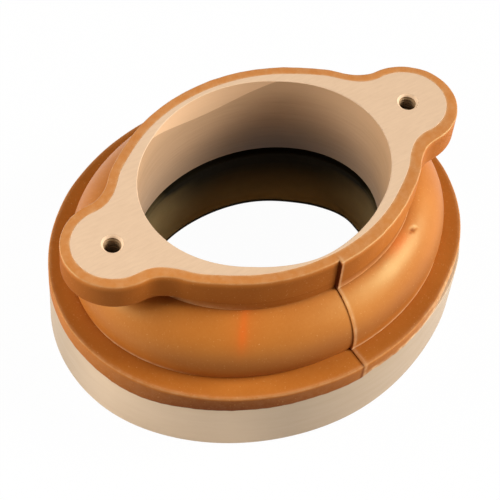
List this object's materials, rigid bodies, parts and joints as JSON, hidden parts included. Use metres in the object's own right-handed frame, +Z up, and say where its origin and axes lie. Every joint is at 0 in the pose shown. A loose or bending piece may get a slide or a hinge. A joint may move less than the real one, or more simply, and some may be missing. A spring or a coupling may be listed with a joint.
{
  "type": "rubber-bonded flange coupling",
  "caption": "Oval flexible coupling: a machined metal flange with two threaded ears and a sleeve floats on moulded copper-brown rubber over a plain metal base ring.",
  "frame": {"origin": "centre of the base ring's underside", "axes": "+Z up along the bore, from the base ring to the flange; +X along the line of the two ears"},
  "size_m": [0.1528, 0.127, 0.065],
  "materials": {
    "flange_metal": "fine-milled, satin",
    "base_metal": "satin",
    "insert_steel": "satin",
    "rubber": "satin moulded copper-brown",
    "lining_rubber": "dull dark"
  },
  "bodies": {
    "base": {"base_ring": "base_metal", "rubber_base_cover": "rubber", "rubber_bore_lining": "lining_rubber"},
    "axial": {"rubber_axial_slice": "rubber"},
    "shear_x": {"rubber_shear_x_slice": "rubber"},
    "shear_y": {"rubber_shear_y_slice": "rubber"},
    "cock_x": {"rubber_cock_x_slice": "rubber"},
    "cock_y": {"rubber_cock_y_slice": "rubber"},
    "flange": {"top_flange": "flange_metal", "thread_insert_left": "insert_steel", "thread_insert_right": "insert_steel", "rubber_flange_skin": "rubber"}
  },
  "joints": [
    {"name": "axial_give", "type": "slide", "parent": "base", "child": "axial", "axis": [0, 0, 1], "range_m": [-0.0015, 0.001], "stiffness_N_per_m": 500000, "deforming": ["rubber_axial_slice"]},
    {"name": "shear_x_give", "type": "slide", "parent": "axial", "child": "shear_x", "axis": [1, 0, 0], "range_m": [-0.0012, 0.0012], "stiffness_N_per_m": 150000, "deforming": ["rubber_shear_x_slice"]},
    {"name": "shear_y_give", "type": "slide", "parent": "shear_x", "child": "shear_y", "axis": [0, 1, 0], "range_m": [-0.0012, 0.0012], "stiffness_N_per_m": 150000, "deforming": ["rubber_shear_y_slice"]},
    {"name": "cock_x_give", "type": "hinge", "parent": "shear_y", "child": "cock_x", "pos_m": [0, 0, 0.0398], "axis": [1, 0, 0], "range_deg": [-1.2, 1.2], "stiffness_Nm_per_rad": 500, "deforming": ["rubber_cock_x_slice"]},
    {"name": "cock_y_give", "type": "hinge", "parent": "cock_x", "child": "cock_y", "pos_m": [0, 0, 0.0398], "axis": [0, 1, 0], "range_deg": [-1.2, 1.2], "stiffness_Nm_per_rad": 800, "deforming": ["rubber_cock_y_slice"]},
    {"name": "twist_give", "type": "hinge", "parent": "cock_y", "child": "flange", "pos_m": [0, 0, 0.0398], "axis": [0, 0, 1], "range_deg": [-2.5, 2.5], "stiffness_Nm_per_rad": 380}
  ]
}
